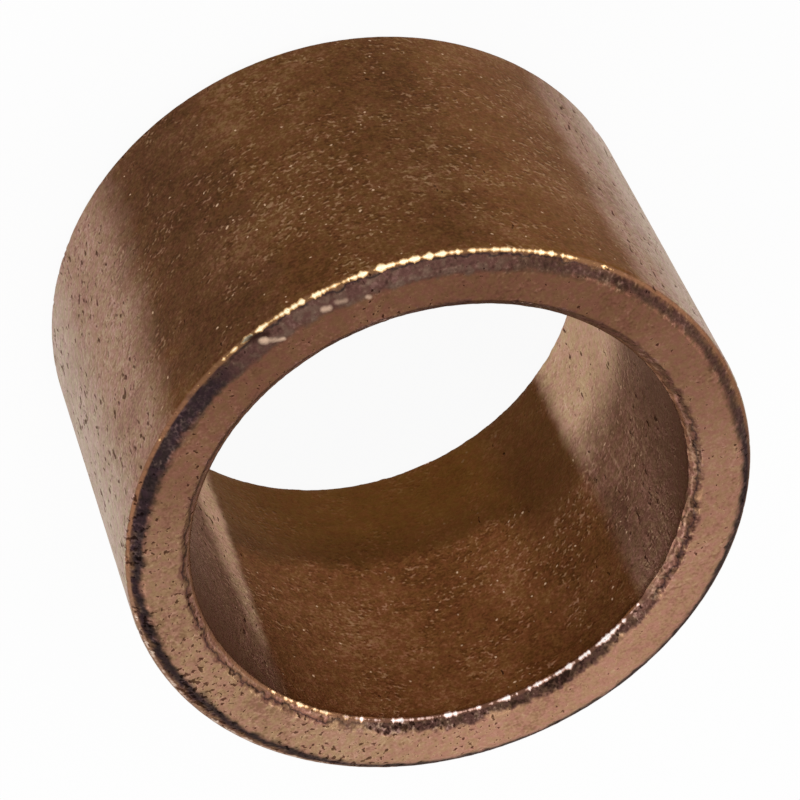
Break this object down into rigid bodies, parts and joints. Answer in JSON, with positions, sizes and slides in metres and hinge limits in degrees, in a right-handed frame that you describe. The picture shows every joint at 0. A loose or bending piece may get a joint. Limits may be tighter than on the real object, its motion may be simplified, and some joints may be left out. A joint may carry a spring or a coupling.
{
  "type": "starter bushing",
  "caption": "Short plain sleeve bearing of porous sintered bronze that is pressed into a starter motor's end housing and carries the end of its turning shaft.",
  "frame": {"origin": "centre of the bore in the plane of the lower end face, on which the bushing stands", "axes": "+Z along the bore, towards the end whose rim has the handling dent"},
  "size_m": [0.016, 0.016, 0.0105],
  "materials": {
    "sintered_bronze": "as pressed, porous and dark with oil, burnished on its end faces"
  },
  "bodies": {
    "root": {"bushing": "sintered_bronze"}
  },
  "joints": []
}
